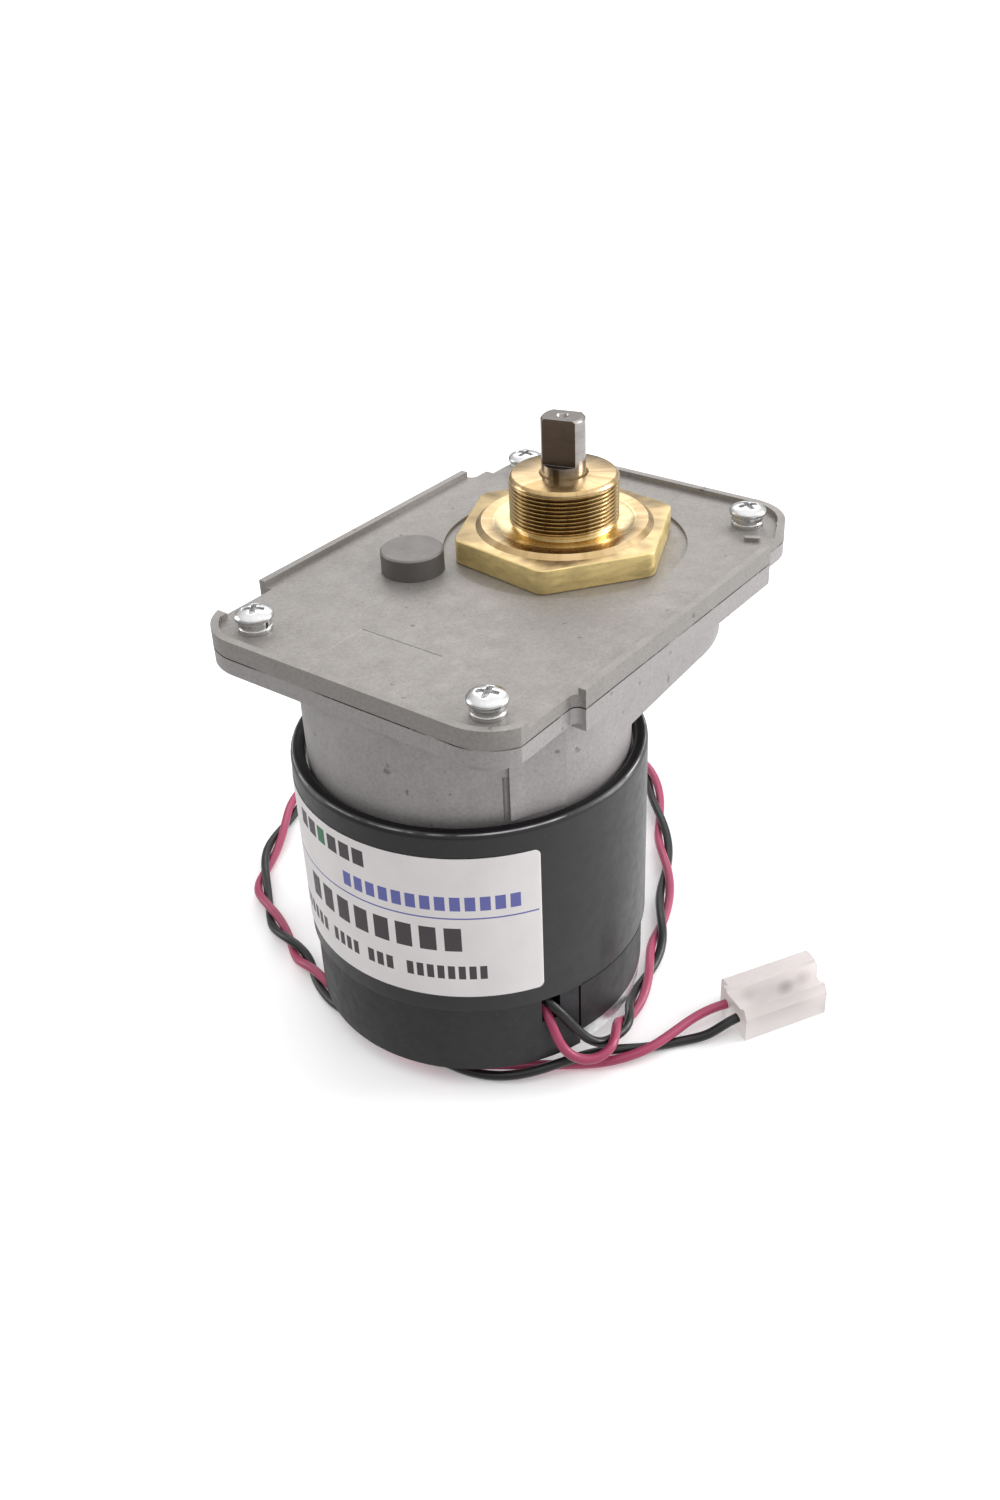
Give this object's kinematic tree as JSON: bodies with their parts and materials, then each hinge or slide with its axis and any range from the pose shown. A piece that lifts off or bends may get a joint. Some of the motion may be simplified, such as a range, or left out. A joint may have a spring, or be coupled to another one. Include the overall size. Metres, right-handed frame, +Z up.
{
  "type": "geared dc motor",
  "caption": "Brushed DC motor under an offset spur gearbox, with a threaded brass mounting bush, a double-D output shaft and a twisted lead with a plug.",
  "frame": {"origin": "on the motor axis, on the resting face of the rear boss", "axes": "+Z up along the motor and output axes, +X from the motor axis towards the output shaft"},
  "size_m": [0.1153, 0.1354, 0.1025],
  "materials": {
    "cast_zinc": "as-cast matte zinc alloy",
    "plated_steel": "bright zinc plated",
    "brass": "turned, satin",
    "shaft_steel": "ground",
    "gear_steel": "machined, greased",
    "sintered_bronze": "sintered",
    "nylon": "moulded",
    "black_tube": "satin black",
    "black_cover": "matte black",
    "zinc_plate": "pale plated",
    "ferrite": "sintered ferrite",
    "lamination": "stacked sheet",
    "copper": "enamelled wire",
    "card": "pressed laminate",
    "carbon": "carbon brush",
    "label_white": "printed film",
    "red_pvc": "soft insulation",
    "black_pvc": "soft insulation",
    "lead_pvc": "two twisted leads",
    "natural_nylon": "milky translucent",
    "tinned": "tinned"
  },
  "bodies": {
    "case": {"gearbox_housing": "cast_zinc", "gearbox_cover": "cast_zinc", "cover_screws": "plated_steel", "lock_washers": "plated_steel", "mounting_bush": "brass", "output_bearing": "sintered_bronze", "first_pin": "shaft_steel", "second_pin": "shaft_steel", "second_washers": "plated_steel", "motor_tube": "black_tube", "front_plate": "zinc_plate", "tie_screws": "plated_steel", "front_bearing": "shaft_steel", "rear_bearing": "shaft_steel", "rear_cover": "black_cover", "rear_plate": "zinc_plate", "magnet_north": "ferrite", "magnet_south": "ferrite", "brush_card": "card", "brush_holders": "brass", "brushes": "carbon", "brush_springs": "plated_steel", "name_plate": "label_white", "lead_red_exit": "red_pvc", "lead_black_exit": "black_pvc", "lead_pair": "lead_pvc", "lead_red_plug": "red_pvc", "lead_black_plug": "black_pvc", "plug_housing": "natural_nylon", "plug_terminals": "tinned"},
    "output": {"output_shaft": "shaft_steel", "output_wheel": "gear_steel", "output_washer": "plated_steel"},
    "second_gear": {"second_wheel": "gear_steel", "second_pinion": "gear_steel"},
    "first_gear": {"first_cluster": "nylon"},
    "rotor": {"motor_shaft": "shaft_steel", "motor_pinion": "brass", "armature_core": "lamination", "windings": "copper", "commutator": "copper"}
  },
  "joints": [
    {"name": "output_spin", "type": "hinge", "parent": "case", "child": "output", "pos_m": [0.034, 0.0025, 0.09], "axis": [0, 0, 1], "continuous": true},
    {"name": "second_spin", "type": "hinge", "parent": "case", "child": "second_gear", "pos_m": [0.01027, 0.01918, 0.072], "axis": [0, 0, 1], "continuous": true},
    {"name": "first_spin", "type": "hinge", "parent": "case", "child": "first_gear", "pos_m": [0.01489, 0.00178, 0.068], "axis": [0, 0, 1], "continuous": true},
    {"name": "rotor_spin", "type": "hinge", "parent": "case", "child": "rotor", "pos_m": [0, 0, 0.03], "axis": [0, 0, 1], "continuous": true}
  ],
  "couplings": [
    {"joint": "second_spin", "follows": "output_spin", "ratio": -3.8333},
    {"joint": "first_spin", "follows": "output_spin", "ratio": 19.167},
    {"joint": "rotor_spin", "follows": "output_spin", "ratio": -57.5}
  ]
}
